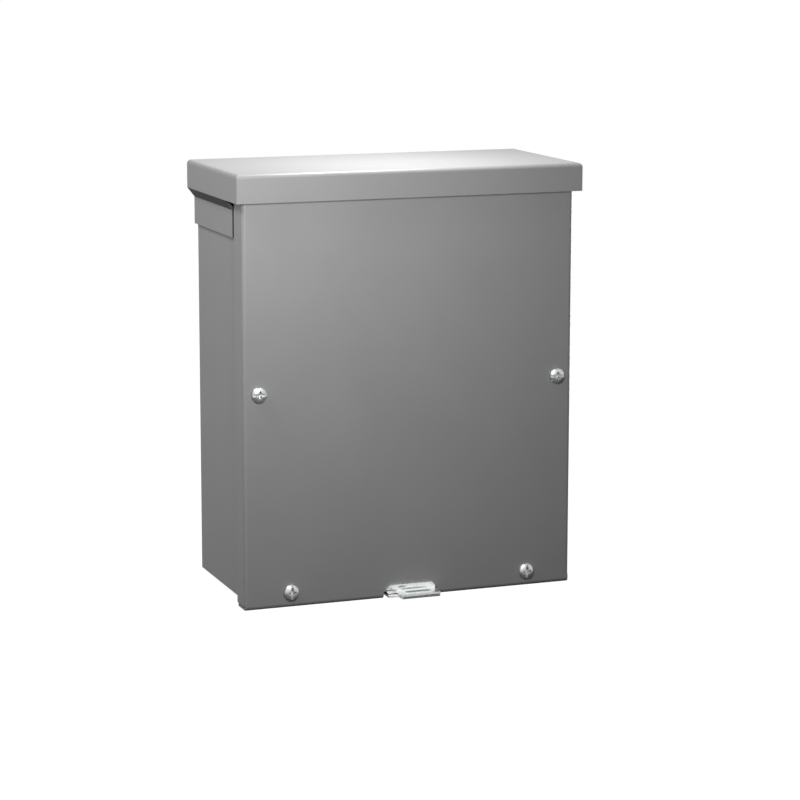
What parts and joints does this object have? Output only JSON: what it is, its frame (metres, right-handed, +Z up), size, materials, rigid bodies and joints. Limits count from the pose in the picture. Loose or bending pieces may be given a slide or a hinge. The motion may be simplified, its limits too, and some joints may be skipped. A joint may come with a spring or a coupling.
{
  "type": "junction box",
  "caption": "Outdoor junction box in folded grey painted steel, with a drip hood, a slip-on cover held by captive screws and a padlock hasp and staple at the foot.",
  "frame": {"origin": "on the wall, in the middle of the four mounting holes", "axes": "+Y into the wall, square to it, +Z up, +X to the right as seen from the front"},
  "size_m": [0.215, 0.1101, 0.2563],
  "materials": {
    "grey_paint": "smooth satin grey powder coat on sheet steel",
    "zinc_plate": "bright zinc plate",
    "nylon": "plain natural nylon",
    "green_screw": "green dyed zinc plate"
  },
  "bodies": {
    "enclosure": {"enclosure_body": "grey_paint", "drip_hood": "grey_paint", "padlock_staple": "zinc_plate", "staple_rivet_left": "zinc_plate", "staple_rivet_right": "zinc_plate", "ground_screw": "green_screw"},
    "cover_assembly": {"cover": "grey_paint", "padlock_hasp": "zinc_plate", "screw_retainer_left": "nylon", "screw_retainer_right": "nylon", "screw_retainer_bottom_left": "nylon", "screw_retainer_bottom_right": "nylon"},
    "screw_left": {"cover_screw_left": "zinc_plate"},
    "screw_right": {"cover_screw_right": "zinc_plate"},
    "screw_bottom_left": {"cover_screw_bottom_left": "zinc_plate"},
    "screw_bottom_right": {"cover_screw_bottom_right": "zinc_plate"}
  },
  "joints": [
    {"name": "cover_tilt", "type": "hinge", "parent": "enclosure", "child": "cover_assembly", "pos_m": [0, -0.0976, 0.121], "axis": [-1, 0, 0], "range_deg": [0, 11]},
    {"name": "screw_left_turn", "type": "hinge", "parent": "cover_assembly", "child": "screw_left", "pos_m": [-0.0938, -0.09912, -0.0014], "axis": [0, -1, 0], "continuous": true},
    {"name": "screw_right_turn", "type": "hinge", "parent": "cover_assembly", "child": "screw_right", "pos_m": [0.0938, -0.09912, -0.0014], "axis": [0, -1, 0], "continuous": true},
    {"name": "screw_bottom_left_turn", "type": "hinge", "parent": "cover_assembly", "child": "screw_bottom_left", "pos_m": [-0.0749, -0.09912, -0.12035], "axis": [0, -1, 0], "continuous": true},
    {"name": "screw_bottom_right_turn", "type": "hinge", "parent": "cover_assembly", "child": "screw_bottom_right", "pos_m": [0.0749, -0.09912, -0.12035], "axis": [0, -1, 0], "continuous": true}
  ]
}
